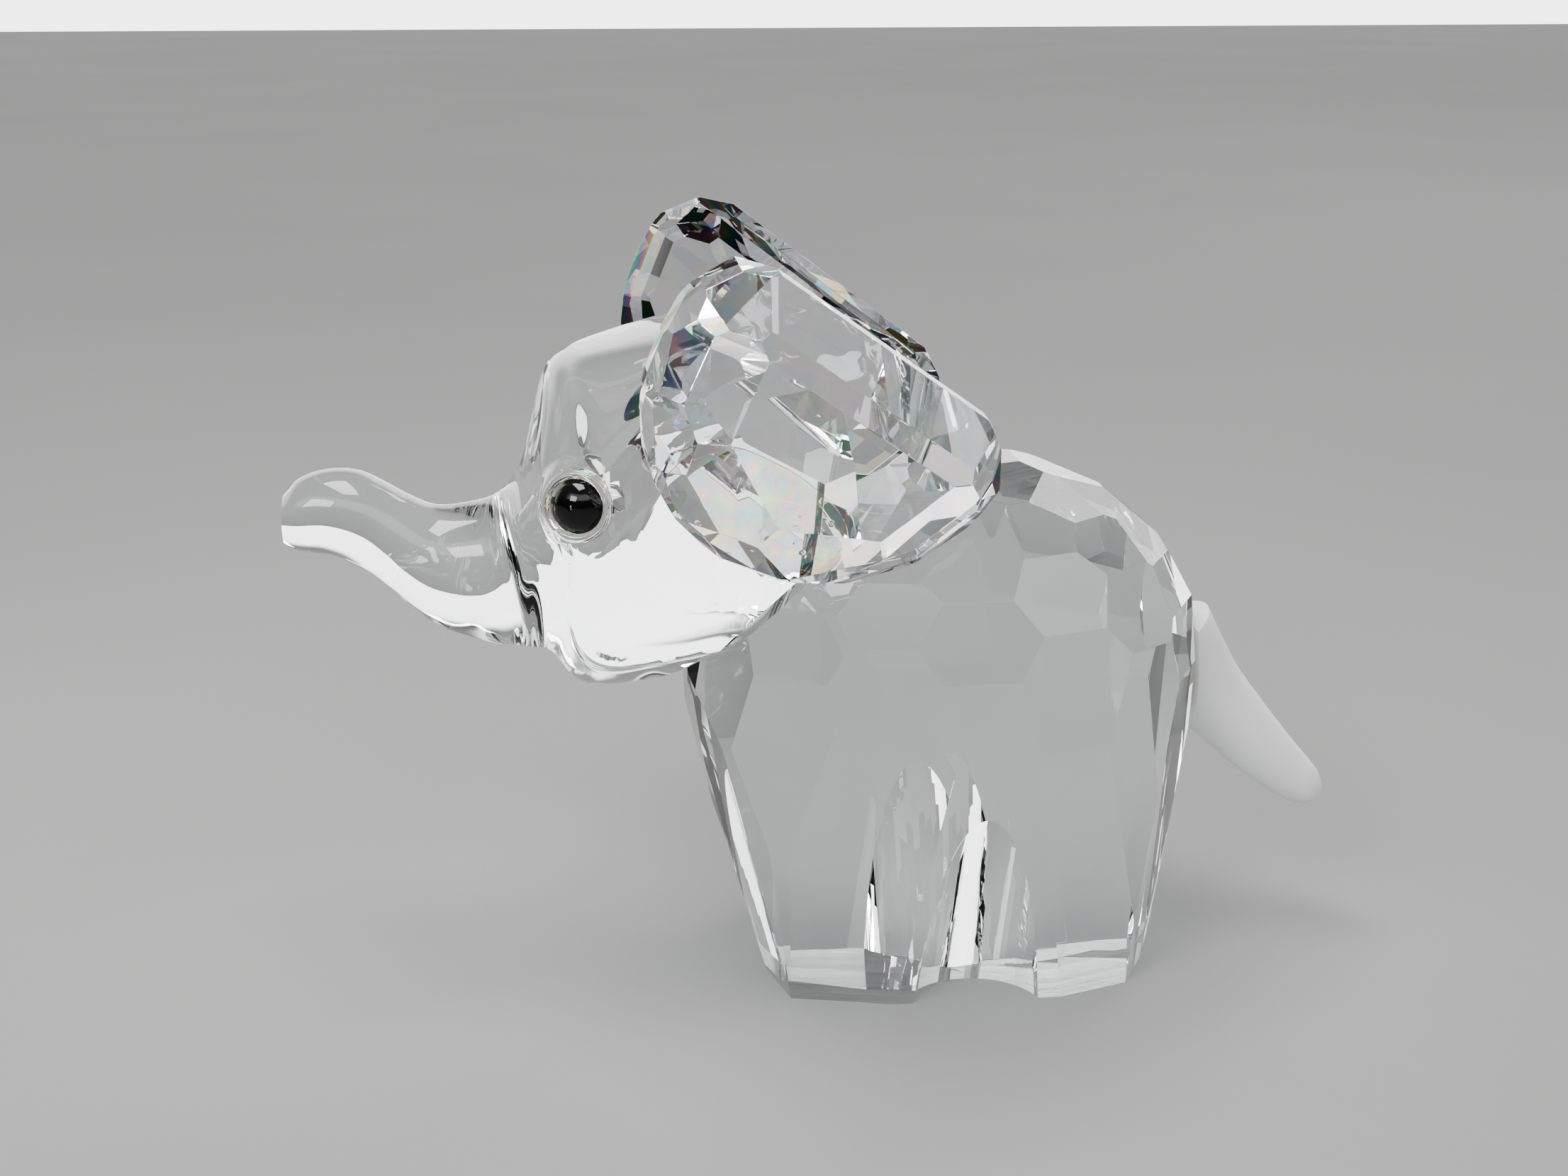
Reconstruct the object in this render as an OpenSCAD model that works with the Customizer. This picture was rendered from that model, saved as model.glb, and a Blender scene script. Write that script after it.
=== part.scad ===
// Cut-crystal baby elephant, glued from seven pieces of glass.
// It faces -X. Its left side faces -Y. The origin is the middle of the foot, on the ground.
// "Turn" is an angle about Z from the flank towards the rump: -90 faces the chest, 90 the rump.
// "Tilt" is how far a facet's normal points above the horizon.

/* [Torso] */
// Half length of the torso at its widest
torso_half_length = 12.0; // [10:0.1:14]
// Half width of the torso at its widest
torso_half_width = 9.0; // [8.5:0.1:10]
// Height of the back above the widest level
back_rise = 9.9; // [8:0.1:12]
// Height of the widest level above the ground
girdle_height = 14.6; // [13:0.1:16]
// Fullness of the back's curve: 2 is an ellipse and more is squarer
fullness = 2.3; // [2:0.05:2.8]
// Distance of the torso's middle from the foot's middle
torso_shift = -0.6; // [-1:0.1:1]

/* [Leg grooves] */
// Radius of the grinding wheel's edge that cuts the two side grooves
side_groove_radius = 3.1; // [2.5:0.1:4]
// Depth of a side groove at the ground
side_groove_depth = 2.3; // [1:0.1:2.5]
// Height at which a side groove runs out
side_groove_height = 9.8; // [7:0.1:11]
// Distance of the side grooves from the foot's middle
side_groove_shift = 0.4; // [0:0.1:1.5]
// Radius of the two end grooves
end_groove_radius = 2.6; // [2:0.1:3.5]
// Depth of an end groove at the ground
end_groove_depth = 1.5; // [0.8:0.1:2]
// Height at which an end groove runs out
end_groove_height = 8.2; // [6:0.1:10]

/* [Neck and head] */
// Distance of the neck's facet from the torso's middle
neck_reach = 8.9; // [8.4:0.1:9.4]
// Angle of the neck's facet above the horizon
neck_tilt = 46; // [40:1:52]
// Half width of the head between the ears
head_half_width = 8.4; // [8:0.1:8.8]

/* [Ears] */
// Half length of the whole oval that an ear is half of
ear_half_length = 8.5; // [8:0.1:9]
// Half height of that oval
ear_half_height = 8.5; // [8:0.1:9]
// Height of the ear's straight edge above the oval's middle
ear_chord = 2.9; // [2.5:0.1:3.5]
// How much the facets that round off the straight edge's ends take away
ear_corner = 1.0; // [0:0.1:1.2]
// Rise of the ear's outer dome
ear_dome = 3.0; // [2:0.1:4]
// Thickness behind the ear's rim
ear_backing = 1.5; // [1:0.1:2]
// Lean of an ear out from upright
ear_lean = 13.8; // [10:0.2:14]
// Swing of an ear's rear end towards the neck
ear_swing = 8.1; // [4:0.1:8.5]
// Turn of an ear in its own plane
ear_roll = 36.3; // [30:0.1:42]

/* [Tail and eyes] */
// Radius of the tail at its root
tail_root_radius = 2.5; // [2:0.1:2.8]
// Radius of an eye
eye_radius = 1.2; // [0.9:0.05:1.4]
// Radius of the clear ring that seats an eye
eye_ring_radius = 1.6; // [1.5:0.05:2]

/* [Glue] */
// Thickness of a glue joint
glue = 0.12; // [0.08:0.01:0.2]

/* [Hidden] */
$fn = 64;
BIG = 80;
CRYSTAL = [0.86, 0.92, 0.95, 0.55];
FROST = [0.93, 0.94, 0.95];
JET = [0.03, 0.03, 0.03];
ADHESIVE = [0.95, 0.93, 0.8, 0.7];

torso_middle = [torso_shift, 0, girdle_height];

// Crown facets by upright column: the column's turn, then the tilts of its facets going up
crown_columns = [[-90, [0, 18]], [-56, [6, 24, 44, 64]], [-31, [-2, 14, 31, 50]], [-14, [5, 22, 40, 60]],
                 [0, [-2, 15, 35, 56]], [19, [4, 28, 49, 70]], [38, [-2, 22, 42, 60]],
                 [62, [-6, 8, 24, 42, 60]], [90, [3, 30, 50, 70]]];

// Foot facets that carry a groove: distance from the middle of the foot, lean outwards going up
CHEST_FOOT = [9.45, 13.5];
SIDE_FOOT = [6.55, 11];
RUMP_FOOT = [9.55, 10.5];
// All long foot facets: turn, then distance and lean
foot_cuts = [[-90, each CHEST_FOOT], [-75, 9.25, 13], [-50, 9.75, 9], [-30, 8.8, 8], [-13, 7.15, 8.5],
             [0, each SIDE_FOOT], [19, 7.65, 7.5], [47, 9.85, 10], [70, 9.95, 9.2], [90, each RUMP_FOOT]];

// Rings blended in from one station of a sweep to the next
SWEEP_STEPS = 3;
HEAD_SIDES = 40;
// The head from trunk tip to nape: x, lowest z, highest z, half width, squareness above and below,
// and how far up the ring its widest level is
head_stations = [[-30.6, 21.2, 23.5, 1.4, 2.1, 2.1, 0.5], [-29.9, 20.9, 24.2, 1.7, 2.1, 2.1, 0.5],
                 [-28.6, 20.7, 24.6, 2.0, 2.1, 2.1, 0.5], [-27.2, 20.1, 24.5, 2.2, 2.1, 2.1, 0.5],
                 [-26, 19.1, 23.9, 2.3, 2.1, 2.1, 0.5], [-25, 18.1, 23.3, 2.4, 2.1, 2.1, 0.5],
                 [-23.8, 17.2, 22.8, 2.6, 2.1, 2.1, 0.5], [-22.3, 16.6, 22.9, 2.9, 2.1, 2.1, 0.5],
                 [-21.2, 16.3, 23.2, 3.3, 2.1, 2.1, 0.5], [-20.3, 16.2, 24.0, 3.7, 2.2, 2.0, 0.5],
                 [-19.7, 16.1, 25.4, 4.1, 2.3, 1.9, 0.5], [-18.8, 15.9, 28.8, 4.8, 2.4, 1.8, 0.52],
                 [-17.7, 14.6, 29.8, 5.8, 2.5, 1.6, 0.58], [-16.3, 14.2, 30.3, 7.0, 2.7, 1.4, 0.61],
                 [-13.5, 14.4, 31, 8.0, 2.8, 1.3, 0.63], [-10, 14.9, 31.6, head_half_width, 2.8, 1.35, 0.63],
                 [-5, 16, 31.6, head_half_width, 2.8, 1.8, 0.6], [0, 20, 30, 7.5, 2.8, 2.2, 0.5]];
head_middle = [-13, 0, 22.5];
// Facets at the back of the head: turn, tilt, distance from the head's middle
head_cuts = [[90, 8, 7.6], [90, 42, 9.0], [90, 70, 8.8], [40, 35, 9.2], [40, 66, 8.9], [45, -12, 7.9],
             [0, 62, 9.3], [-38, 68, 8.9], [-90, 74, 8.3], [0, -62, 8.6], [-90, -80, 8.5]];

// Eye seats
EYE_BOSS = 1.6;
EYE_HEIGHT = 0.9;
EYE_CROWN = 1.35;
EYE_CUP = 0.35;
eye_seat = [-17.4, -5.9, 24.15];
eye_turn = -20;
eye_tilt = 6;

// Middle of the whole oval of the left ear, on the level of its rim
ear_middle = [-6.44, -9.15, 29.24];
EAR_BLOCK = 24;
// Bearings of the narrow flats round the rim
EAR_RIM = [-186 : 12 : 6];
// Rows of ear facets: tilt, first bearing, step, last bearing
ear_rows = [[68, -165, 50, 15], [46, -190, 25, 10], [26, -180, 20, 0], [-42, -190, 25, 10]];
// How much higher than the dome, and deeper than the backing, the oval behind those rows is
DOME_SPARE = 0.6;
BACKING_SPARE = 0.5;
// Bearings of the facets that round off the straight edge's ends, and of the bevels on them
EAR_CORNERS = [35, 62, 118, 145];
EAR_CORNER_BEVELS = [48, 132];
CORNER_TILT = 42;
// Facets along the straight edge: tilt, and how far they stand off the edge itself
EAR_EDGE_BEVEL = [40, 0.3];
EAR_EDGE_SLOPE = [62, 1.4];
EAR_INNER_BEVEL = [-40, 0.2];

// Glue layers with round ends: one end's middle, the other's, radius
NECK_LAYER = [-4.4, -1.2, 3.1];
EAR_LAYER = [-1.2, 1.6, 1.5];
// How far below the middle of the ear's oval its glue is
EAR_GLUE_DROP = 5.2;
// How far the tail's glue stays inside its root
TAIL_GLUE_MARGIN = 0.5;

TAIL_SIDES = 32;
// The rump facet that carries the tail, and how far down it the joint sits
RUMP_TILT = 3;
TAIL_DROP = 1.0;
// The tail from root to tip: x, z, radius, slope below level of its middle line
tail_stations = [[10.4, 15.5, tail_root_radius, 54], [12.4, 12.9, 1.95, 50], [14.0, 11.1, 1.7, 48],
                 [16.0, 9.05, 1.4, 44], [17.5, 7.75, 1.1, 40], [18.05, 7.3, 0.85, 38],
                 [18.4, 7.02, 0.5, 38], [18.52, 6.93, 0.1, 38]];

// Both sides of the symmetry plane
module both_sides() {
    children();
    mirror([0, 1, 0]) children();
}

// All that lies beyond a plane, given by where its normal points and its distance from the origin
module beyond(turn, tilt, reach) {
    rotate([0, 0, turn - 90])
        rotate([0, -tilt, 0])
            translate([reach, -BIG / 2, -BIG / 2]) cube(BIG);
}

// Distance to a tangent plane from the middle of a solid that is an ellipse in plan and fuller upright
function tangent(half, full, turn, tilt) =
    let (q = full / (full - 1), level = norm([half.x * sin(turn), half.y * cos(turn)]))
    pow(pow(level * cos(tilt), q) + pow(half.z * abs(sin(tilt)), q), 1 / q);

module crown_cuts() {
    half = [torso_half_length, torso_half_width, back_rise];
    for (column = crown_columns)
        for (tilt = column[1])
            beyond(column[0], tilt, tangent(half, fullness, column[0], tilt));
    beyond(0, 90, back_rise);
}

module foot_facets() {
    for (c = foot_cuts)
        beyond(c[0], -c[2], c[1] * cos(c[2]));
}

// A groove whose bottom line runs from its depth at the ground out to the facet at its top
module groove(turn, facet, radius, depth, height) {
    run_out = height * tan(facet[1]);
    slope = atan2(run_out + depth, height);
    rotate([0, 0, turn - 90])
        translate([facet[0] - depth, 0, 0])
            rotate([0, slope, 0])
                translate([radius, 0, -height])
                    cylinder(r = radius, h = 4 * height);
}

module leg_grooves() {
    translate([side_groove_shift, 0, 0]) both_sides()
        groove(0, SIDE_FOOT, side_groove_radius, side_groove_depth, side_groove_height);
    groove(-90, CHEST_FOOT, end_groove_radius, end_groove_depth, end_groove_height);
    groove(90, RUMP_FOOT, end_groove_radius, end_groove_depth, end_groove_height);
}

module body() {
    color(CRYSTAL) difference() {
        translate([-BIG / 2, -BIG / 2, 0]) cube(BIG);
        translate(torso_middle) both_sides() crown_cuts();
        both_sides() foot_facets();
        translate(torso_middle) beyond(-90, neck_tilt, neck_reach);
        leg_grooves();
    }
}

// ---- Sweeps: a closed skin through rings of points, with flat ends ----
module skin(rings) {
    sides = len(rings[0]);
    last = len(rings) - 1;
    polyhedron(
        points = [for (ring = rings) each ring],
        faces = [
            [for (i = [0 : sides - 1]) i],
            [for (i = [sides - 1 : -1 : 0]) last * sides + i],
            for (r = [0 : last - 1], i = [0 : sides - 1])
                let (j = (i + 1) % sides)
                [r * sides + i, (r + 1) * sides + i, (r + 1) * sides + j, r * sides + j]
        ]
    );
}

// Smooth curve through four stations, at t from 0 to 1 between the middle two
function glide(a, b, c, d, t) =
    0.5 * (2 * b + (c - a) * t + (2 * a - 5 * b + 4 * c - d) * t * t + (3 * b - a - 3 * c + d) * t * t * t);

// The stations with extra ones blended in between
function refined(list, steps) =
    let (n = len(list) - 1)
    [for (i = [0 : n - 1], k = [0 : steps - 1])
        glide(list[max(i - 1, 0)], list[i], list[i + 1], list[min(i + 2, n)], k / steps),
     list[n]];

// ---- Head ----
function bulge(value, squareness) = sign(value) * pow(abs(value), 2 / squareness);

// Upright ring of the head at one station
function head_ring(s) =
    let (tall = s[2] - s[1], widest = s[1] + tall * s[6])
    [for (k = [0 : HEAD_SIDES - 1])
        let (a = 360 * k / HEAD_SIDES, above = sin(a) > 0, squareness = above ? s[4] : s[5],
             reach = tall * (above ? 1 - s[6] : s[6]))
        [s[0], s[3] * bulge(cos(a), squareness), widest + reach * bulge(sin(a), squareness)]];

module head_casting() {
    skin([for (s = refined(head_stations, SWEEP_STEPS)) head_ring(s)]);
}

module at_eye() {
    translate(eye_seat)
        rotate([0, 0, eye_turn - 90])
            rotate([0, 90 - eye_tilt, 0])
                children();
}

module head() {
    color(CRYSTAL) difference() {
        union() {
            head_casting();
            both_sides() at_eye() translate([0, 0, -EYE_BOSS]) cylinder(r = eye_ring_radius, h = EYE_BOSS);
        }
        translate(torso_middle) beyond(-90, neck_tilt, neck_reach + glue - BIG);
        both_sides() in_ear() translate([-BIG / 2, ear_backing + glue - BIG, -BIG / 2]) cube(BIG);
        for (c = head_cuts)
            both_sides() translate(head_middle) beyond(c[0], c[1], c[2]);
    }
}

// ---- Ears ----
module in_ear() {
    translate(ear_middle)
        rotate([0, 0, ear_swing])
            rotate([ear_lean, 0, 0])
                rotate([0, ear_roll, 0])
                    children();
}

// All beyond a plane of the ear: its bearing round the rim and its tilt from the rim to the outer face
module ear_cut(bearing, tilt, reach) {
    rotate([0, -bearing, 0])
        rotate([0, 0, -tilt])
            translate([reach, -BIG / 2, -BIG / 2]) cube(BIG);
}

function ear_reach(depth, bearing, tilt) =
    norm([ear_half_length * cos(bearing) * cos(tilt), ear_half_height * sin(bearing) * cos(tilt),
          depth * sin(tilt)]);

// Reach of a facet that trims an end of the straight edge
function corner_reach(bearing) =
    let (along = ear_half_length * sqrt(1 - pow(ear_chord / ear_half_height, 2)))
    along * abs(cos(bearing)) + ear_chord * sin(bearing) - ear_corner;

// A facet along the straight edge, from its tilt and how far it stands off the edge
module edge_cut(facet) {
    ear_cut(90, facet[0], ear_chord * cos(facet[0]) + facet[1]);
}

module ear() {
    difference() {
        cube(EAR_BLOCK, center = true);
        ear_cut(0, 90, ear_dome);
        ear_cut(0, -90, ear_backing);
        for (b = EAR_RIM)
            ear_cut(b, 0, ear_reach(ear_dome, b, 0));
        for (row = ear_rows)
            for (b = [row[1] : row[2] : row[3]])
                ear_cut(b, row[0], ear_reach(row[0] > 0 ? ear_dome + DOME_SPARE : ear_backing + BACKING_SPARE,
                                             b, row[0]));
        for (b = EAR_CORNERS)
            ear_cut(b, 0, corner_reach(b));
        for (b = EAR_CORNER_BEVELS)
            ear_cut(b, CORNER_TILT, corner_reach(b) * cos(CORNER_TILT) + EAR_EDGE_BEVEL[1]);
        ear_cut(90, 0, ear_chord);
        edge_cut(EAR_EDGE_BEVEL);
        edge_cut(EAR_EDGE_SLOPE);
        edge_cut(EAR_INNER_BEVEL);
    }
}

module ear_left() {
    color(CRYSTAL) in_ear() ear();
}

module ear_right() {
    color(CRYSTAL) mirror([0, 1, 0]) in_ear() ear();
}

// ---- Tail: a curved horn whose root is cut flat on the rump ----
function tail_ring(s) =
    [for (k = [0 : TAIL_SIDES - 1])
        let (a = 360 * k / TAIL_SIDES)
        [s[0] + s[2] * cos(a) * sin(s[3]), -s[2] * sin(a), s[1] + s[2] * cos(a) * cos(s[3])]];

// Puts its children on the rump facet under the tail, facing out
module at_rump() {
    reach = tangent([torso_half_length, torso_half_width, back_rise], fullness, 90, RUMP_TILT);
    translate(torso_middle)
        rotate([0, 90 - RUMP_TILT, 0])
            translate([TAIL_DROP, 0, reach]) children();
}

module tail() {
    color(FROST) difference() {
        skin([for (s = refined(tail_stations, SWEEP_STEPS)) tail_ring(s)]);
        at_rump() translate([-BIG / 2, -BIG / 2, glue - BIG]) cube(BIG);
    }
}

// ---- Eyes ----
module eye() {
    at_eye() translate([0, 0, glue]) rotate_extrude()
        intersection() {
            translate([0, EYE_HEIGHT - EYE_CROWN]) circle(r = EYE_CROWN);
            square([eye_radius, EYE_HEIGHT]);
        }
}

module eye_left() {
    color(JET) eye();
}

module eye_right() {
    color(JET) mirror([0, 1, 0]) eye();
}

// ---- Glue joints ----
module eye_bond() {
    at_eye() rotate_extrude() {
        square([eye_radius, glue]);
        translate([eye_radius, 0]) square([eye_ring_radius - eye_radius, EYE_CUP]);
        translate([(eye_radius + eye_ring_radius) / 2, EYE_CUP]) circle(d = eye_ring_radius - eye_radius);
    }
}

// Flat layer with round ends, whose middles lie along X
module layer(ends) {
    radius = ends[2];
    translate([ends[0], 0, 0]) cylinder(r = radius, h = glue);
    translate([ends[1], 0, 0]) cylinder(r = radius, h = glue);
    translate([ends[0], -radius, 0]) cube([ends[1] - ends[0], 2 * radius, glue]);
}

module neck_bond() {
    color(ADHESIVE) translate(torso_middle)
        rotate([0, neck_tilt - 90, 0])
            translate([0, 0, neck_reach]) layer(NECK_LAYER);
}

module ear_bond() {
    in_ear() translate([0, ear_backing, -EAR_GLUE_DROP])
        rotate([-90, 0, 0])
            layer(EAR_LAYER);
}

module ear_bond_left() {
    color(ADHESIVE) ear_bond();
}

module ear_bond_right() {
    color(ADHESIVE) mirror([0, 1, 0]) ear_bond();
}

module tail_bond() {
    color(ADHESIVE) at_rump() cylinder(r = tail_root_radius - TAIL_GLUE_MARGIN, h = glue);
}

module eye_bond_left() {
    color(ADHESIVE) eye_bond();
}

module eye_bond_right() {
    color(ADHESIVE) mirror([0, 1, 0]) eye_bond();
}

body();
head();
ear_left();
ear_right();
tail();
eye_left();
eye_right();
neck_bond();
ear_bond_left();
ear_bond_right();
tail_bond();
eye_bond_left();
eye_bond_right();
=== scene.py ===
import math

import bmesh
import bpy
from mathutils import Matrix, Vector, noise

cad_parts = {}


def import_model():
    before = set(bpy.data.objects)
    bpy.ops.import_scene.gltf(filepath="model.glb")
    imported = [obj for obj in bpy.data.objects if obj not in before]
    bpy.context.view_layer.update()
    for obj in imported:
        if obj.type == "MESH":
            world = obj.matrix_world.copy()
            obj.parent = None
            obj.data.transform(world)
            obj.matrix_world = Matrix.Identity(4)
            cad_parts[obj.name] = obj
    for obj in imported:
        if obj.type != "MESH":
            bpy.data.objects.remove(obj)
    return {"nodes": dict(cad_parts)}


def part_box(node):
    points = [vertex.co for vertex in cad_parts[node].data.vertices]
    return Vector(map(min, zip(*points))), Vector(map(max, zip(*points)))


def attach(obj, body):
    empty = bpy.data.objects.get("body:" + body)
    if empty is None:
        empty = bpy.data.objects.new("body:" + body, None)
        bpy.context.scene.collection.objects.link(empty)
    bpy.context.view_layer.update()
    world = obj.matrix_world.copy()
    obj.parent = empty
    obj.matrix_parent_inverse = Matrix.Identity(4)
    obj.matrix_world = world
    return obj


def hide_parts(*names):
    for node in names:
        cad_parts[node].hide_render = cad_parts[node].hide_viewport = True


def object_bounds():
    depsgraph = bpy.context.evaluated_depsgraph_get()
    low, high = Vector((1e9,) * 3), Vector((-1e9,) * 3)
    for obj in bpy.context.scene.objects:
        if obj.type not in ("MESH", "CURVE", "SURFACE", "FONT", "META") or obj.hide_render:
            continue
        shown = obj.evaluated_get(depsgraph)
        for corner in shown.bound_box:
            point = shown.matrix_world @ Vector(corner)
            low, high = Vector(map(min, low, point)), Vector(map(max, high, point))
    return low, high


# Cut-crystal baby elephant on a pale floor. Metres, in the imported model's frame, unless a comment says
# millimetres: it faces -X, its left side faces -Y and +Z is up. Numbers in millimetres are times MM.
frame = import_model()
CAD_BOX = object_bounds()

MM = 0.001
NODES = frame["nodes"]
LOW, HIGH = (Vector(corner) for corner in CAD_BOX)
MIDDLE = (LOW + HIGH) / 2


# ---------------------------------------------------------------- materials
class Recipe:
    """A material's node tree, with one short call for each kind of node."""

    def __init__(self, name):
        self.material = bpy.data.materials.new(name)
        self.material.use_nodes = True
        self.tree = self.material.node_tree
        self.shader = self.tree.nodes["Principled BSDF"]
        self.output = self.tree.nodes["Material Output"]
        self.place = self.node("ShaderNodeTexCoord").outputs["Object"]

    def node(self, kind, **settings):
        made = self.tree.nodes.new(kind)
        for key, value in settings.items():
            setattr(made, key, value)
        return made

    def link(self, source, target):
        self.tree.links.new(source, target)

    def set(self, **values):
        for key, value in values.items():
            self.shader.inputs[key.replace("_", " ")].default_value = value

    def noise(self, size, detail=3.0, roughness=0.5, stretch=None):
        made = self.node("ShaderNodeTexNoise")
        made.inputs["Scale"].default_value = 1 / size
        made.inputs["Detail"].default_value = detail
        made.inputs["Roughness"].default_value = roughness
        self.link(self.stretched(stretch), made.inputs["Vector"])
        return made.outputs["Fac"]

    def cells(self, size):
        made = self.node("ShaderNodeTexVoronoi", feature="F1")
        made.inputs["Scale"].default_value = 1 / size
        self.link(self.place, made.inputs["Vector"])
        return made.outputs["Distance"]

    def stretched(self, stretch):
        if stretch is None:
            return self.place
        made = self.node("ShaderNodeMapping")
        made.inputs["Scale"].default_value = stretch
        self.link(self.place, made.inputs["Vector"])
        return made.outputs["Vector"]

    def spread(self, source, low, high, start=0.3, end=0.7):
        made = self.node("ShaderNodeMapRange")
        self.link(source, made.inputs["Value"])
        made.inputs["From Min"].default_value = start
        made.inputs["From Max"].default_value = end
        made.inputs["To Min"].default_value = low
        made.inputs["To Max"].default_value = high
        return made.outputs["Result"]

    def blend(self, source, low, high):
        made = self.node("ShaderNodeMix", data_type="RGBA")
        self.link(source, made.inputs["Factor"])
        made.inputs[6].default_value = (*low, 1)
        made.inputs[7].default_value = (*high, 1)
        return made.outputs[2]

    def bump(self, source, depth, strength=1.0):
        made = self.node("ShaderNodeBump")
        made.inputs["Strength"].default_value = strength
        made.inputs["Distance"].default_value = depth
        self.link(source, made.inputs["Height"])
        self.link(made.outputs["Normal"], self.shader.inputs["Normal"])

    def lamps_pass(self, tint):
        """Lets lamps through the glass, so that its shadow stays pale."""
        path = self.node("ShaderNodeLightPath")
        clear = self.node("ShaderNodeBsdfTransparent")
        clear.inputs["Color"].default_value = (*tint, 1)
        mix = self.node("ShaderNodeMixShader")
        self.link(path.outputs["Is Shadow Ray"], mix.inputs["Fac"])
        self.link(self.shader.outputs["BSDF"], mix.inputs[1])
        self.link(clear.outputs["BSDF"], mix.inputs[2])
        self.link(mix.outputs["Shader"], self.output.inputs["Surface"])


def crystal(name, waviness=0.0, fire=False):
    """Clear lead crystal. Polished facets carry faint wipe marks, a cast surface waves a little, and fire
    adds the coloured gleams of small facets."""
    recipe = Recipe(name)
    recipe.set(Transmission_Weight=1.0, IOR=1.56, Base_Color=(0.935, 0.947, 0.956, 1))
    if fire:
        recipe.set(Thin_Film_IOR=1.85)
        gleam = recipe.spread(recipe.noise(3.5 * MM, 1.0), 140, 480)
        recipe.link(gleam, recipe.shader.inputs["Thin Film Thickness"])
    marks = recipe.noise(2.2 * MM, 4.0, 0.6, (1, 1, 3.5))
    recipe.link(recipe.spread(marks, 0.0, 0.014, 0.45, 0.75), recipe.shader.inputs["Roughness"])
    if waviness:
        recipe.bump(recipe.noise(5 * MM, 1.0), waviness)
    recipe.lamps_pass((0.32, 0.33, 0.34))
    return recipe.material


def frosted():
    """Acid-etched crystal: a fine even grain that scatters what passes through."""
    recipe = Recipe("frosted_crystal")
    recipe.set(Transmission_Weight=0.12, IOR=1.5, Subsurface_Weight=0.5, Subsurface_Scale=2 * MM)
    recipe.set(Subsurface_Radius=(1, 1, 1))
    cloud = recipe.noise(2.5 * MM, 3.0, 0.55)
    dull, bright = (0.9, 0.91, 0.92), (0.98, 0.985, 0.99)
    recipe.link(recipe.blend(cloud, dull, bright), recipe.shader.inputs["Base Color"])
    recipe.link(recipe.spread(recipe.noise(1.1 * MM), 0.42, 0.6), recipe.shader.inputs["Roughness"])
    recipe.bump(recipe.noise(0.12 * MM, 2.0), 0.012 * MM, 0.6)
    return recipe.material


def black_glass():
    recipe = Recipe("black_glass")
    recipe.set(IOR=1.5)
    cloud = recipe.noise(0.7 * MM, 3.0)
    dark, less_dark = (0.001, 0.001, 0.0012), (0.004, 0.004, 0.0045)
    recipe.link(recipe.blend(cloud, dark, less_dark), recipe.shader.inputs["Base Color"])
    recipe.link(recipe.spread(cloud, 0.02, 0.06), recipe.shader.inputs["Roughness"])
    recipe.bump(recipe.noise(1.6 * MM, 1.0), 0.01 * MM, 0.4)
    return recipe.material


def adhesive(name, bubbly):
    """Cured clear glue: a thin film that gleams in colours, yellower in places, with small bubbles."""
    recipe = Recipe(name)
    recipe.set(Transmission_Weight=1.0, IOR=1.52, Thin_Film_IOR=1.9)
    flow = recipe.noise(2.4 * MM, 2.0)
    recipe.link(recipe.blend(recipe.spread(flow, 0, 1), (0.97, 0.95, 0.86), (0.99, 0.99, 0.98)),
                recipe.shader.inputs["Base Color"])
    recipe.link(recipe.spread(flow, 180, 560), recipe.shader.inputs["Thin Film Thickness"])
    if bubbly:
        bubbles = recipe.spread(recipe.cells(0.8 * MM), 0.0, 1.0, 0.1, 0.2)
        recipe.link(recipe.spread(bubbles, 0.08, 0.01, 0, 1), recipe.shader.inputs["Roughness"])
        recipe.bump(bubbles, 0.02 * MM, 0.3)
    else:
        recipe.link(recipe.spread(flow, 0.0, 0.03), recipe.shader.inputs["Roughness"])
    recipe.lamps_pass((0.93, 0.9, 0.82))
    return recipe.material


def pale_floor():
    recipe = Recipe("pale_floor")
    tone = recipe.noise(60 * MM, 4.0)
    dull, bright = (0.29, 0.29, 0.288), (0.33, 0.33, 0.327)
    recipe.link(recipe.blend(tone, dull, bright), recipe.shader.inputs["Base Color"])
    recipe.set(Roughness=0.85)
    recipe.bump(recipe.noise(0.5 * MM, 3.0), 0.02 * MM, 0.4)
    return recipe.material


CRYSTAL = crystal("crystal")
CAST = crystal("cast_crystal", 0.02 * MM)
FIRE = crystal("fire_crystal", fire=True)
FROSTED = frosted()
BLACK = black_glass()
ADHESIVE = adhesive("adhesive", True)
CLEAR_ADHESIVE = adhesive("clear_adhesive", False)


# ---------------------------------------------------------------- mesh helpers
def finished(name, mesh, material, node, sharp=28):
    """Makes the object for a mesh that stands for a CAD node."""
    for polygon in mesh.polygons:
        polygon.use_smooth = True
    mesh.set_sharp_from_angle(angle=math.radians(sharp))
    piece = bpy.data.objects.new(name, mesh)
    bpy.context.scene.collection.objects.link(piece)
    mesh.materials.append(material)
    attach(piece, "root")
    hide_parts(node)
    return piece


def glide(a, b, c, d, t):
    """Catmull-Rom curve between b and c."""
    return [0.5 * (2 * q + (r - p) * t + (2 * p - 5 * q + 4 * r - s) * t * t
                   + (3 * q - p - 3 * r + s) * t ** 3)
            for p, q, r, s in zip(a, b, c, d)]


def refined(stations, steps):
    last = len(stations) - 1
    made = []
    for i in range(last):
        around = (stations[max(i - 1, 0)], stations[i], stations[i + 1], stations[min(i + 2, last)])
        made += [glide(*around, k / steps) for k in range(steps)]
    return made + [list(stations[last])]


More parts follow.
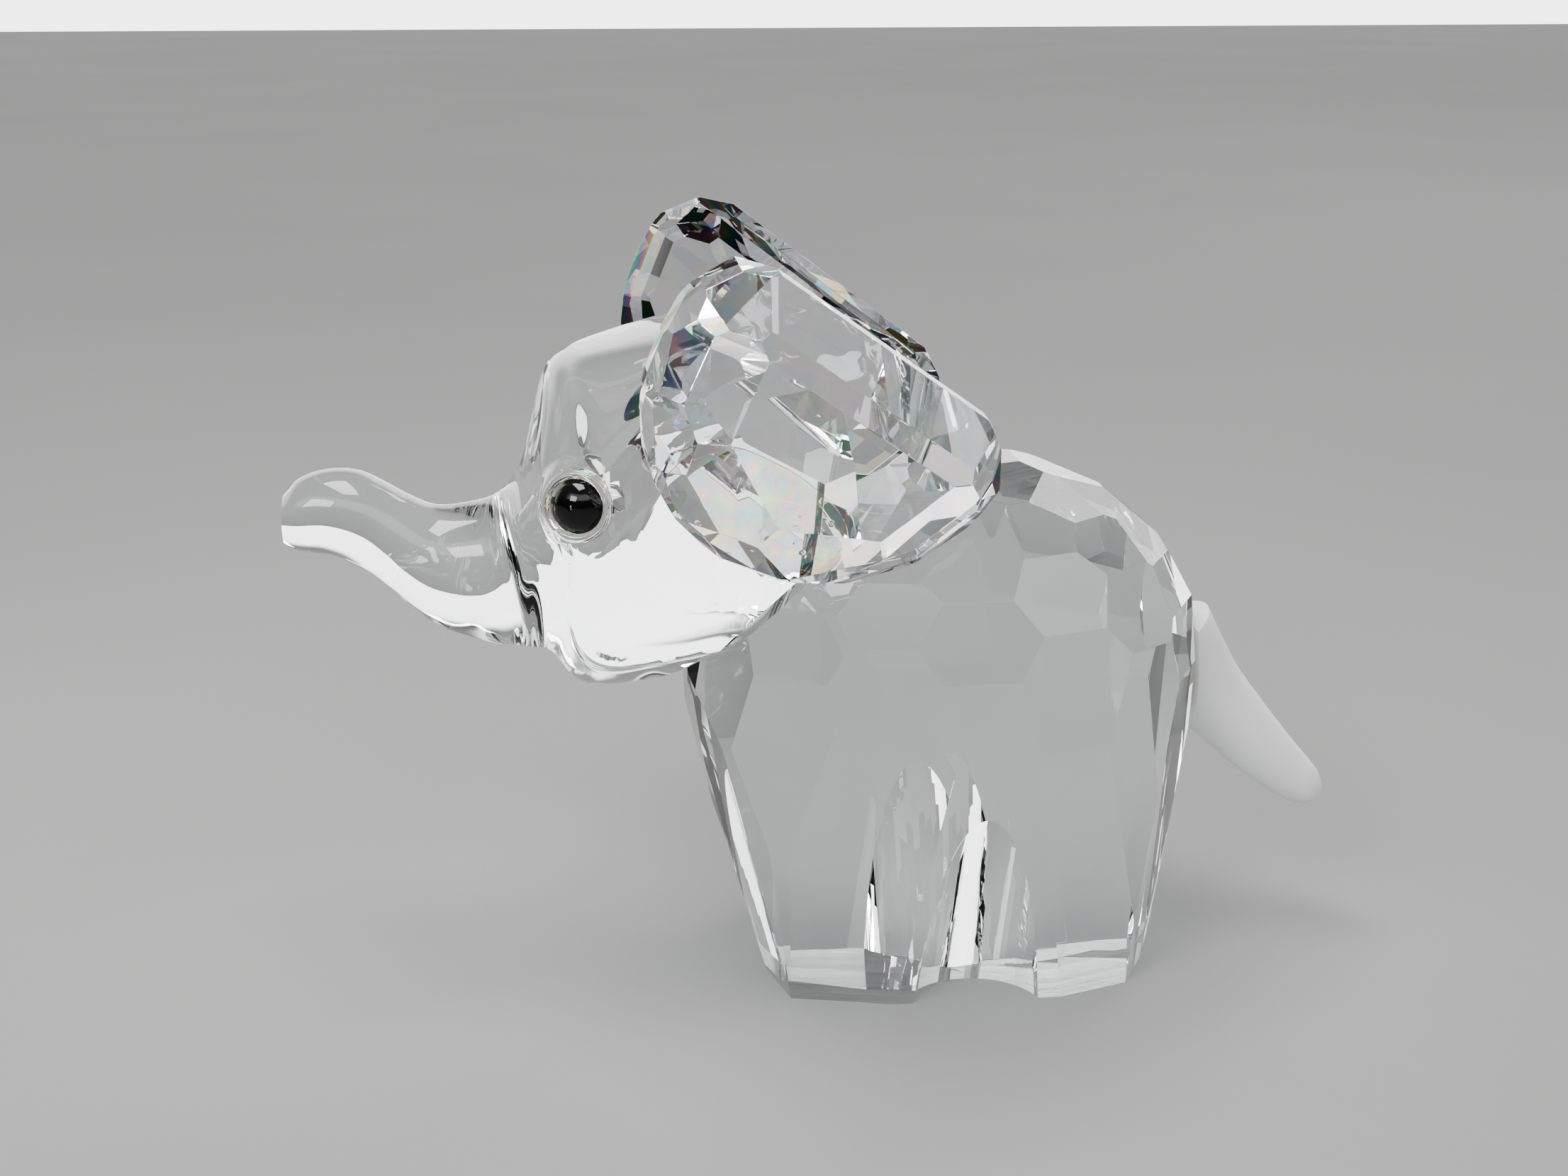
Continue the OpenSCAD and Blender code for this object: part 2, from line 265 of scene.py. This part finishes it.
def skin(rings):
    """A closed bmesh through rings of points, in metres, with flat ends."""
    bm = bmesh.new()
    rows = [[bm.verts.new(Vector(p) * MM) for p in ring] for ring in rings]
    count = len(rows[0])
    for a, b in zip(rows, rows[1:]):
        for i in range(count):
            j = (i + 1) % count
            bm.faces.new((a[i], b[i], b[j], a[j]))
    bm.faces.new(rows[0])
    bm.faces.new(list(reversed(rows[-1])))
    bmesh.ops.recalc_face_normals(bm, faces=bm.faces)
    return bm


def cut(bm, point, normal):
    """Takes off all that lies beyond a plane, and closes the hole with one flat face."""
    everything = bm.verts[:] + bm.edges[:] + bm.faces[:]
    bmesh.ops.bisect_plane(bm, geom=everything, dist=1e-7, plane_co=point, plane_no=normal, clear_outer=True)
    rim = [e for e in bm.edges if e.is_boundary]
    if rim:
        bmesh.ops.edgeloop_fill(bm, edges=rim)


def to_mesh(bm, name):
    bmesh.ops.recalc_face_normals(bm, faces=bm.faces)
    mesh = bpy.data.meshes.new(name)
    bm.to_mesh(mesh)
    bm.free()
    return mesh


def aimed(turn, tilt):
    """Direction of a facet's normal: turn goes from the left flank to the rump, and tilt is above level."""
    t, l = math.radians(turn), math.radians(tilt)
    return Vector((math.sin(t) * math.cos(l), -math.cos(t) * math.cos(l), math.sin(l)))


def mirrored(vector):
    return Vector((vector.x, -vector.y, vector.z))


# ---------------------------------------------------------------- head
GLUE = 0.12
TORSO_MIDDLE = Vector((-0.6, 0, 14.6))
NECK_TILT = 46
NECK_REACH = 8.9
NECK = aimed(-90, NECK_TILT)
NECK_POINT = TORSO_MIDDLE + NECK * (NECK_REACH + GLUE)
EAR_MIDDLE = Vector((-6.44, -9.15, 29.24))
EAR_TURN = (Matrix.Rotation(math.radians(8.1), 3, "Z") @ Matrix.Rotation(math.radians(13.8), 3, "X")
            @ Matrix.Rotation(math.radians(36.3), 3, "Y"))
EAR_BACKING = 1.5
# Directions of the left ear: along its straight edge, in towards the head, and across its face
EAR_ALONG, EAR_INWARDS, EAR_UP = (EAR_TURN @ Vector(axis) for axis in ((1, 0, 0), (0, 1, 0), (0, 0, 1)))
# The way the rump's facet under the tail faces
RUMP = aimed(90, 3)
EYE_SEAT = Vector((-17.4, -5.9, 24.15))
EYE_AXIS = aimed(-20, 6)
# From trunk tip to nape, in millimetres: x, lowest z, highest z, half width, squareness above and below,
# and how far up the ring its widest level is
HEAD = [(-30.6, 21.2, 23.5, 1.4, 2.1, 2.1, 0.5), (-29.9, 20.9, 24.2, 1.7, 2.1, 2.1, 0.5),
        (-28.6, 20.7, 24.6, 2.0, 2.1, 2.1, 0.5), (-27.2, 20.1, 24.5, 2.2, 2.1, 2.1, 0.5),
        (-26, 19.1, 23.9, 2.3, 2.1, 2.1, 0.5), (-25, 18.1, 23.3, 2.4, 2.1, 2.1, 0.5),
        (-23.8, 17.2, 22.8, 2.6, 2.1, 2.1, 0.5), (-22.3, 16.6, 22.9, 2.9, 2.1, 2.1, 0.5),
        (-21.2, 16.3, 23.2, 3.3, 2.1, 2.1, 0.5), (-20.3, 16.2, 24.0, 3.7, 2.2, 2.0, 0.5),
        (-19.7, 16.1, 25.4, 4.1, 2.3, 2.0, 0.5), (-18.8, 15.9, 28.8, 4.8, 2.4, 2.1, 0.5),
        (-17.7, 14.6, 29.8, 5.7, 2.5, 2.1, 0.52), (-16.3, 14.2, 30.3, 6.8, 2.7, 1.9, 0.55),
        (-13.5, 14.4, 31, 7.8, 2.8, 1.65, 0.6), (-10, 14.9, 31.6, 8.4, 2.8, 1.5, 0.62),
        (-5, 16, 31.6, 8.4, 2.8, 1.8, 0.6), (0, 20, 30, 7.5, 2.8, 2.2, 0.5)]
HEAD_MIDDLE = Vector((-13, 0, 22.5))
# Facets at the back of the head: turn, tilt, distance from the head's middle
HEAD_FACETS = [(90, 8, 7.6), (90, 42, 9.0), (90, 70, 8.8), (40, 35, 9.2), (40, 66, 8.9), (45, -12, 7.9),
               (0, 62, 9.3), (-38, 68, 8.9), (-90, 74, 8.3), (0, -62, 8.6), (-90, -80, 8.5)]


def power(value, squareness):
    return math.copysign(abs(value) ** (2 / squareness), value)


def head_ring(station, sides=168):
    x, low, high, half, above, below, share = station
    widest = low + (high - low) * share
    points = []
    for k in range(sides):
        a = 2 * math.pi * k / sides
        upper = math.sin(a) > 0
        squareness = above if upper else below
        reach = high - widest if upper else widest - low
        points.append((x, half * power(math.cos(a), squareness),
                       widest + reach * power(math.sin(a), squareness)))
    return points


def raise_seat(bm, seat, axis, radius=1.66, skirt=0.6, contact=0.02, below=2.5, above=1):
    """Lifts the cast surface into a flat round seat for an eye, into contact with its clear ring."""
    for vert in bm.verts:
        offset = vert.co / MM - seat
        height = offset.dot(axis)
        out = (offset - axis * height).length
        if out > radius + skirt or not -below < height < above:
            continue
        share = min(1, (radius + skirt - out) / skirt)
        share = share * share * (3 - 2 * share)
        vert.co += axis * (contact - height) * share * MM


def ease(bm, point, inwards, width=0.7, depth=0.2, ridge=0.32, ridge_place=1.19, ridge_width=0.315):
    """Rounds the cast surface over towards a plane that will cut it, behind a low ridge."""
    for vert in bm.verts:
        inside = (vert.co / MM - point).dot(inwards)
        if -width < inside < 4 * width:
            share = min(max(width - inside, 0) / width, 1)
            crest = math.exp(-((inside - ridge_place) / ridge_width) ** 2)
            vert.co += vert.normal * (crest * ridge - share ** 2 * depth) * MM


def head_mesh():
    bm = skin([head_ring(s) for s in refined(HEAD, 12)])
    for side in (Vector, mirrored):
        raise_seat(bm, side(EYE_SEAT), side(EYE_AXIS))
    cut(bm, NECK_POINT * MM, -NECK)
    pad_point = EAR_MIDDLE + EAR_INWARDS * (EAR_BACKING + GLUE)
    bm.normal_update()
    for side in (Vector, mirrored):
        ease(bm, side(pad_point), side(EAR_INWARDS))
    for side in (Vector, mirrored):
        cut(bm, side(pad_point) * MM, side(-EAR_INWARDS))
        for turn, tilt, reach in HEAD_FACETS:
            normal = side(aimed(turn, tilt))
            cut(bm, (HEAD_MIDDLE + normal * reach) * MM, normal)
    return to_mesh(bm, "head_cast")


finished("head_cast", head_mesh(), CAST, "head")


# ---------------------------------------------------------------- tail
# From root to tip: x, z, radius, slope of the middle line below level
TAIL = [(10.4, 15.5, 2.5, 54), (12.4, 12.9, 1.95, 50), (14.0, 11.1, 1.7, 48), (16.0, 9.05, 1.4, 44),
        (17.5, 7.75, 1.1, 40), (18.05, 7.3, 0.85, 38), (18.4, 7.02, 0.5, 38), (18.52, 6.93, 0.1, 38)]


def tail_ring(station, sides=64):
    x, z, radius, slope = station
    lean = math.radians(slope)
    turns = [2 * math.pi * k / sides for k in range(sides)]
    return [(x + radius * math.cos(a) * math.sin(lean), radius * math.sin(a),
             z + radius * math.cos(a) * math.cos(lean)) for a in turns]


def tail_joint():
    """The middle of the tail's glue, in millimetres."""
    low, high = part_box("tail_bond")
    return Vector(((low.x + high.x) / 2 / MM, 0, (low.z + high.z) / 2 / MM))


def tail_mesh():
    bm = skin([tail_ring(s) for s in refined(TAIL, 6)])
    root = tail_joint() + Vector((GLUE / 2, 0, 0))
    cut(bm, root * MM, -RUMP)
    return to_mesh(bm, "tail_horn")


finished("tail_horn", tail_mesh(), FROSTED, "tail", 50)


# ---------------------------------------------------------------- glue films
# How far a film is pressed into the glass on each side, and how much its outline wanders
FILM_OVERLAP = 0.012
FILM_WANDER = 0.07
# Half length and half width of each film
NECK_FILM = (4.3, 3.5)
EAR_FILM = (4.0, 1.9)
TAIL_FILM = (2.3, 2.0)
# How far a film's middle is below its joint's middle, and along the ear for the ears
NECK_FILM_DROP = 2.6
EAR_FILM_DROP = 5.6
EAR_FILM_SHIFT = 0.6


def film(name, node, place, size, seed, squareness=2.4, sides=72):
    """A thin layer with a wandering outline, pressed slightly into the glass on both sides."""
    rings = []
    for height in (-FILM_OVERLAP, GLUE + FILM_OVERLAP):
        ring = []
        for k in range(sides):
            a = 2 * math.pi * k / sides
            wander = 1 + FILM_WANDER * noise.noise(Vector((2 * math.cos(a), 2 * math.sin(a), seed)))
            ring.append(place @ Vector((size[0] * power(math.cos(a), squareness) * wander,
                                        size[1] * power(math.sin(a), squareness) * wander, height)))
        rings.append(ring)
    finished(name, to_mesh(skin(rings), name), ADHESIVE, node, 40)


def seated(point, along, across):
    """Matrix that puts X along, Y across and Z along the normal at a point."""
    normal = along.cross(across)
    turned = Matrix((along, across, normal)).transposed().to_4x4()
    return Matrix.Translation(point) @ turned


def neck_film():
    uphill = Vector((math.sin(math.radians(NECK_TILT)), 0, math.cos(math.radians(NECK_TILT))))
    point = NECK_POINT - NECK * GLUE - uphill * NECK_FILM_DROP
    film("neck_film", "neck_bond", seated(point, uphill, NECK.cross(uphill)), NECK_FILM, 3.1)


def ear_film(name, node, side, seed):
    point = side(EAR_MIDDLE + EAR_INWARDS * EAR_BACKING + EAR_ALONG * EAR_FILM_SHIFT - EAR_UP * EAR_FILM_DROP)
    along, inwards = side(EAR_ALONG), side(EAR_INWARDS)
    film(name, node, seated(point, along, inwards.cross(along)), EAR_FILM, seed)


def tail_film():
    point = tail_joint() - RUMP * GLUE / 2
    down = Vector((0, 1, 0)).cross(RUMP)
    film("tail_film", "tail_bond", seated(point, down, RUMP.cross(down)), TAIL_FILM, 1.4)


neck_film()
ear_film("ear_film_left", "ear_bond_left", Vector, 5.2)
ear_film("ear_film_right", "ear_bond_right", mirrored, 8.7)
tail_film()


# ---------------------------------------------------------------- cut pieces
# Edges that turn by more than this are between facets, and by less are within a ground hollow
CUT_ANGLE = math.radians(11)
# Vertices nearer than this, in metres, are one
SAME = 1e-6


def polished(name, node, width, material):
    """Copies a cut node and gives each edge between its facets the fine flat that polishing leaves."""
    bm = bmesh.new()
    bm.from_mesh(NODES[node].data)
    bmesh.ops.remove_doubles(bm, verts=bm.verts[:], dist=SAME)
    bmesh.ops.dissolve_limit(bm, angle_limit=math.radians(0.6), verts=bm.verts[:], edges=bm.edges[:])
    ground = [e for e in bm.edges if e.is_manifold and e.calc_face_angle() > CUT_ANGLE]
    bmesh.ops.bevel(bm, geom=ground, offset=width, offset_type="OFFSET", segments=1, affect="EDGES",
                    clamp_overlap=True)
    bmesh.ops.dissolve_degenerate(bm, dist=2 * SAME, edges=bm.edges[:])
    bmesh.ops.remove_doubles(bm, verts=bm.verts[:], dist=2 * SAME)
    for edge in bm.edges:
        edge.smooth = is_round(edge, width)
    mesh = bpy.data.meshes.new(name)
    bm.to_mesh(mesh)
    bm.free()
    for polygon in mesh.polygons:
        polygon.use_smooth = True
    piece = bpy.data.objects.new(name, mesh)
    bpy.context.scene.collection.objects.link(piece)
    mesh.materials.append(material)
    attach(piece, "root")
    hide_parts(node)


def is_round(edge, width):
    """True between two strips of a ground hollow, and false wherever a facet or a fine flat begins."""
    if not edge.is_manifold or edge.calc_face_angle() > CUT_ANGLE:
        return False
    narrow = 2.5 * width
    return all(f.calc_area() / max(e.calc_length() for e in f.edges) > narrow for f in edge.link_faces)


polished("body_cut", "body", 0.08 * MM, CRYSTAL)
polished("ear_cut_left", "ear_left", 0.05 * MM, FIRE)
polished("ear_cut_right", "ear_right", 0.05 * MM, FIRE)


# ---------------------------------------------------------------- carried-over nodes
def dress(node, material):
    body = NODES[node].data
    body.materials.clear()
    body.materials.append(material)


for node in ("eye_left", "eye_right"):
    dress(node, BLACK)
for node in ("eye_bond_left", "eye_bond_right"):
    dress(node, CLEAR_ADHESIVE)


# ---------------------------------------------------------------- floor, light and camera
# Half the floor's width: the bright panel shows over its far edge, where the hollows of the legs look
FLOOR_REACH = 0.95


def floor():
    bm = bmesh.new()
    bmesh.ops.create_grid(bm, x_segments=8, y_segments=8, size=FLOOR_REACH)
    mesh = to_mesh(bm, "floor")
    ground = bpy.data.objects.new("floor", mesh)
    bpy.context.scene.collection.objects.link(ground)
    mesh.materials.append(pale_floor())


class Sky:
    """A plain dome of soft light whose strength depends on direction only."""

    def __init__(self):
        self.world = bpy.data.worlds.new("studio")
        self.world.use_nodes = True
        self.tree = self.world.node_tree
        self.background = self.tree.nodes["Background"]
        self.background.inputs["Color"].default_value = (1, 1, 1, 1)
        place = self.tree.nodes.new("ShaderNodeTexCoord")
        split = self.tree.nodes.new("ShaderNodeSeparateXYZ")
        self.tree.links.new(place.outputs["Generated"], split.inputs[0])
        self.axes = split.outputs

    def rise(self, axis, start, end, low, high):
        ramp = self.tree.nodes.new("ShaderNodeMapRange")
        ramp.interpolation_type = "SMOOTHSTEP"
        for name, value in (("From Min", start), ("From Max", end), ("To Min", low), ("To Max", high)):
            ramp.inputs[name].default_value = value
        self.tree.links.new(self.axes[axis], ramp.inputs["Value"])
        return ramp.outputs["Result"]

    def math(self, operation, a, b):
        made = self.tree.nodes.new("ShaderNodeMath")
        made.operation = operation
        self.tree.links.new(a, made.inputs[0])
        self.tree.links.new(b, made.inputs[1])
        return made.outputs[0]


def world():
    """A soft overhead glow, a broad bright panel behind the object, and a dimmer one high in front."""
    sky = Sky()
    glow = sky.rise("Z", 0.05, 0.8, 0.08, 0.3)
    panel = sky.math("MULTIPLY", sky.rise("Y", 0.2, 0.6, 0, 2.6), sky.rise("Z", -0.055, -0.045, 0, 1))
    panel = sky.math("MULTIPLY", panel, sky.rise("Z", 0.4, 0.6, 1, 0))
    front = sky.math("MULTIPLY", sky.rise("Y", -0.5, -0.2, 2.0, 0), sky.rise("Z", 0.42, 0.5, 0, 1))
    front = sky.math("MULTIPLY", front, sky.rise("Z", 0.72, 0.8, 1, 0))
    panels = sky.math("ADD", panel, front)
    sky.tree.links.new(sky.math("ADD", glow, panels), sky.background.inputs["Strength"])
    bpy.context.scene.world = sky.world


def softbox(name, spot, size, watts):
    """An area light that faces the object's middle from a place given in millimetres."""
    data = bpy.data.lights.new(name, "AREA")
    data.shape = "RECTANGLE"
    data.size, data.size_y = (s * MM for s in size)
    data.energy = watts
    lamp = bpy.data.objects.new(name, data)
    lamp.location = Vector(spot) * MM
    aim = MIDDLE - lamp.location
    lamp.rotation_euler = aim.to_track_quat("-Z", "Y").to_euler()
    bpy.context.scene.collection.objects.link(lamp)


def camera():
    """Looks down at the left flank, a little towards the rump, with a 52 mm lens on full frame."""
    yaw, pitch, distance = math.radians(6), math.radians(16.5), 106 * MM
    forward = Vector((math.sin(yaw) * math.cos(pitch), math.cos(yaw) * math.cos(pitch), -math.sin(pitch)))
    target = Vector((-7.9, 0, 18.4)) * MM
    data = bpy.data.cameras.new("camera")
    data.lens = 52.08
    data.sensor_width = 36
    data.clip_start = 1 * MM
    view = bpy.data.objects.new("camera", data)
    view.location = target - forward * distance
    view.rotation_euler = forward.to_track_quat("-Z", "Y").to_euler()
    bpy.context.scene.collection.objects.link(view)
    bpy.context.scene.camera = view


floor()
world()
softbox("overhead", (-30, -10, 150), (90, 50), 0.16)
softbox("front_left", (-160, -200, 180), (120, 90), 0.3)
softbox("back_right", (240, 300, 300), (120, 120), 0.25)
camera()
bpy.context.scene.view_settings.look = "AgX - Medium High Contrast"
